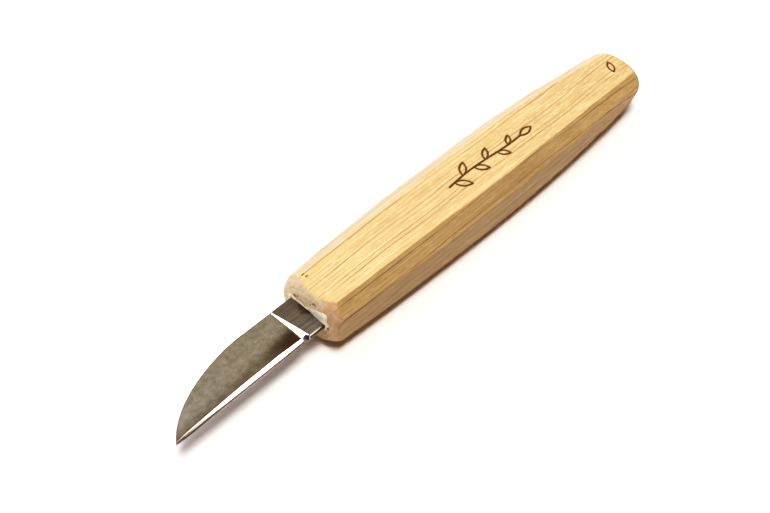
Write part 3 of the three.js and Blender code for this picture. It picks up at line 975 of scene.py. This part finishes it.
def steel_material():
    """Olive ground steel with a painted dark reflection at the heel, bright bevels and a dull ricasso with
    painted shade by the wood; the broken edge's highlight and the dark foot, notch wall and spine rim are
    painted too.

    Here `along` is millimetres from the handle and `down` is millimetres from the spine.
    """
    g = MaterialGraph("satin steel")
    place = g.place()
    x, y, _ = g.split(place)
    grime = g.grain(place, (620, 800, 800), 4.0, 0.6)
    haze = g.grain(place, (90, 130, 130))
    speck = g.grain(place, (1300, 1200, 1200), 2.0, 0.5)
    drawn = g.grain(place, (110, 4200, 4200), 3.0, 0.6)
    along = g.math("MULTIPLY_ADD", x, -1 / MM, FRONT_X)
    down = g.math("MULTIPLY_ADD", y, -1 / MM, SPINE_Y)
    slant = (PLUNGE["edge"] - PLUNGE["spine"]) / (SPINE_Y - BEVEL_TOP_Y)
    plunge_start = g.math("MULTIPLY_ADD", down, slant, PLUNGE["spine"])
    ricasso = g.span(g.minus(plunge_start, along), -0.04, 0.04)
    bevel = g.attribute("honed")
    on_face = g.minus(1.0, g.math("MAXIMUM", bevel, ricasso))
    plunge = g.span(g.minus(along, PLUNGE["face"]), 0.55, 0.0)
    plunge = g.times(plunge, on_face)
    # Painted reflection: a dark brown reflection on the ground face near the heel.
    heel_dark_reflection = g.times(heel_shade(g, along, down), g.minus(on_face, plunge))
    # Bright honed bevel, painted dimmer and browner towards the point where its mirrored light fades.
    bevel_with_painted_fade = g.blend(g.span(along, 34, 46), (0.92, 0.90, 0.86), (0.60, 0.52, 0.44))
    ricasso_depth = SPINE_Y - RICASSO_Y
    # Painted highlight: a cream line along the ricasso's broken lower edge.
    broken_edge_highlight = g.times(ricasso, g.span(down, ricasso_depth - 0.33, ricasso_depth - 0.27))
    # Painted dark reflection of the shaded floor on the ricasso's lower wall.
    foot = g.times(ricasso, g.span(down, ricasso_depth - 0.15, ricasso_depth - 0.1))
    colour = g.layers(
        face_colour(g, along, grime, speck, haze),
        (heel_dark_reflection, (0.15, 0.088, 0.04)),
        (ricasso, ricasso_colour(g, along, down, drawn)),
        # Painted shade on the steel beside the wood.
        (g.times(wood_side_painted_shade(g, place, along, down), 0.75), (0.12, 0.095, 0.105)),
        (g.times(bevel, 0.9), bevel_with_painted_fade),
        (g.times(broken_edge_highlight, g.span(along, 0.6, 1.6)), (0.90, 0.84, 0.76)),
        (foot, (0.13, 0.085, 0.05)),
        # Painted dark reflection on the notch wall.
        (g.attribute("wall"), (0.05, 0.045, 0.05)),
        # Painted shade: a dark line along the spine's rounded rim.
        (g.times(g.attribute("rim"), 0.85), (0.10, 0.10, 0.115)),
    )
    rough = g.plus(g.span(grime, 0.3, 0.7, 0.19, 0.25), g.times(ricasso, 0.16))
    bright = g.math("MAXIMUM", g.math("MAXIMUM", bevel, plunge), broken_edge_highlight)
    rough = g.minus(rough, g.times(bright, 0.07))
    normal = g.bump(speck, 0.04, 0.000004)
    normal = g.bump(drawn, g.times(ricasso, 0.12), 0.00001, normal)
    g.set(Base_Color=colour, Roughness=rough, Normal=normal, Metallic=1.0)
    return g.material


def adhesive_material():
    """Pale cured glue, beige on the spine side and painted dark, as shade, where it lies deeper than the
    face.
    """
    g = MaterialGraph("cured adhesive")
    place = g.place()
    x, y, _ = g.split(place)
    cloud = g.noise(place, 900, 4.0, 0.6)
    pale = g.ramp(cloud, [(0.3, (0.60, 0.52, 0.40)), (0.5, (0.70, 0.62, 0.50)), (0.7, (0.78, 0.72, 0.61))])
    beige = g.ramp(cloud, [(0.3, (0.56, 0.46, 0.33)), (0.5, (0.68, 0.59, 0.45)), (0.7, (0.77, 0.69, 0.56))])
    colour = g.blend(g.span(y, -0.0012, 0.0002), pale, beige)
    # Painted shade: glue lying deeper than the front face is painted dark.
    colour = g.blend(g.span(x, (FRONT_X + 0.05) * MM, (FRONT_X + 0.4) * MM), colour, (0.09, 0.055, 0.035))
    rough, normal = g.span(cloud, 0.3, 0.7, 0.28, 0.5), g.bump(cloud, 0.5, 0.0001)
    g.set(Base_Color=colour, Roughness=rough, Normal=normal, IOR=1.5)
    return g.material


# ---- Pieces ----

handle = make_handle()
blade = make_blade()
adhesive = make_adhesive()
for piece, node, slot, material in (
    (handle, "handle", "handle_ash", ash_material()),
    (blade, "blade", "blade_steel", steel_material()),
    (adhesive, "adhesive_bed", "cured_adhesive", adhesive_material()),
):
    piece.data.materials.append(material)
    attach(piece, "root")
    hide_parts(node)


# ---- Floor, light and camera ----

FLOOR_HALF = 6.0


def make_floor():
    corners = [(side * FLOOR_HALF, up * FLOOR_HALF, 0) for side, up in ((-1, -1), (1, -1), (1, 1), (-1, 1))]
    mesh = bpy.data.meshes.new("floor")
    mesh.from_pydata(corners, [], [(0, 1, 2, 3)])
    floor = add_object("floor", mesh)
    g = MaterialGraph("pale floor")
    tone = g.noise(g.place(), 3.0)
    colour = g.ramp(tone, [(0.3, (0.90, 0.90, 0.90)), (0.7, (0.92, 0.92, 0.92))])
    g.set(Base_Color=colour, Roughness=0.9, Specular_IOR_Level=0.1)
    mesh.materials.append(g.material)
    return floor


def light_only(lamp, receivers):
    group = bpy.data.collections.new(lamp.name + " receivers")
    for receiver in receivers:
        group.objects.link(receiver)
    lamp.light_linking.receiver_collection = group


def area_light(name, centre, size, aim, power, receivers=()):
    """A white rectangle of light, for the receivers only if any are given."""
    data = bpy.data.lights.new(name, "AREA")
    data.shape = "RECTANGLE"
    data.size, data.size_y = size
    data.energy = power
    lamp = add_object(name, data)
    lamp.location = centre
    turn_to(lamp, Vector(centre) - Vector(aim))
    if receivers:
        light_only(lamp, receivers)
    return lamp


def make_sun(name, direction, strength, angle, colour, receivers):
    """A distant soft lamp that lights only the receivers, and isn't itself mirrored in the steel."""
    data = bpy.data.lights.new(name, "SUN")
    data.energy = strength
    data.angle = math.radians(angle)
    data.color = colour
    lamp = add_object(name, data)
    turn_to(lamp, direction)
    lamp.visible_glossy = False
    light_only(lamp, receivers)


# The world's brighter patch: its direction, the degrees off it where it ends and is full, and its colour.
PATCH = dict(way=(0.41, 0.32, 0.854), edge=30, full=8, colour=(0.385, 0.335, 0.262))


def make_world():
    """White near the horizon, dim and warm above, with one brighter patch for the ground steel to mirror."""
    world = bpy.data.worlds.new("studio")
    bpy.context.scene.world = world
    world.use_nodes = True
    g = Graph(world.node_tree)
    place = g.add("TexCoord", out="Generated")
    sky = g.ramp(g.split(place)[2], [(0.0, (1.05, 1.05, 1.05)), (0.15, (1.05, 1.05, 1.05)),
                                     (0.27, (0.22, 0.18, 0.135)), (1.0, (0.20, 0.16, 0.12))])
    toward = g.add("VectorMath", {0: place, 1: PATCH["way"]}, out="Value", operation="DOT_PRODUCT")
    edge, full = (math.cos(math.radians(PATCH[key])) for key in ("edge", "full"))
    sky = g.blend(g.span(toward, edge, full), sky, PATCH["colour"])
    g.add("OutputWorld", {"Surface": g.add("Background", {"Color": sky})})
    world.cycles_visibility.diffuse = False


CAMERA = dict(azimuth=-53.756, elevation=50.437, roll=8.676, distance=0.3933, lens=74.72,
              aim=(-0.01239, -0.00044, 0.00795))


def make_camera():
    """The photograph's viewpoint; CAMERA holds degrees, metres, and the lens in millimetres."""
    a, e = math.radians(CAMERA["azimuth"]), math.radians(CAMERA["elevation"])
    back = Vector((math.sin(a) * math.cos(e), -math.cos(a) * math.cos(e), math.sin(e)))
    data = bpy.data.cameras.new("camera")
    data.lens = CAMERA["lens"]
    data.sensor_width = 36.0
    data.clip_start = 0.01
    camera = add_object("camera", data)
    camera.location = Vector(CAMERA["aim"]) + back * CAMERA["distance"]
    turn_to(camera, back)
    camera.rotation_quaternion @= Quaternion((0, 0, 1), math.radians(CAMERA["roll"]))
    bpy.context.scene.camera = camera


floor = make_floor()
make_world()
make_sun("key", (-0.10, 0.47, 0.875), 4.9, 30, (1.0, 0.985, 0.965), (handle, blade, adhesive))
make_sun("front fill", (-0.93, 0.12, 0.34), 1.5, 70, (1.0, 0.98, 0.96), (handle, adhesive))
make_sun("side fill", (-0.30, -0.80, 0.50), 0.5, 70, (1.0, 0.95, 0.86), (handle, adhesive))
make_sun("overhead", (-0.13, -0.08, 1.0), 3.05, 23, (1.0, 0.98, 0.94), (floor,))
make_sun("back fill", (0.08, 0.75, 0.65), 1.6, 60, (1.0, 0.92, 0.95), (floor,))
make_sun("wood glow", (-0.25, -0.75, 0.60), 0.2, 60, (1.0, 0.45, 0.25), (floor,))
area_light("bevel card", (0.195, -0.025, 0.61), (0.26, 0.14), (-0.065, -0.005, 0.008), 0.3)
area_light("plunge card", (-0.045, 0.198, 0.628), (0.21, 0.17), (-0.046, -0.002, 0.008), 0.62)
sheen = area_light("wood sheen", (0.70, 0.45, 0.91), (0.9, 0.9), (0.02, 0, 0.016), 5.0, receivers=(handle,))
sheen.visible_diffuse = False
rim = area_light("rim sheen", (0.55, 0.85, 0.16), (0.9, 0.3), (0.02, 0, 0.012), 3.0, receivers=(handle,))
rim.visible_diffuse = False
make_camera()
view = bpy.context.scene.view_settings
view.view_transform = "Standard"
view.use_curve_mapping = True
for position, value in ((0.08, 0.037), (0.25, 0.19), (0.5, 0.49), (0.8, 0.84)):
    view.curve_mapping.curves[3].points.new(position, value)
view.curve_mapping.update()
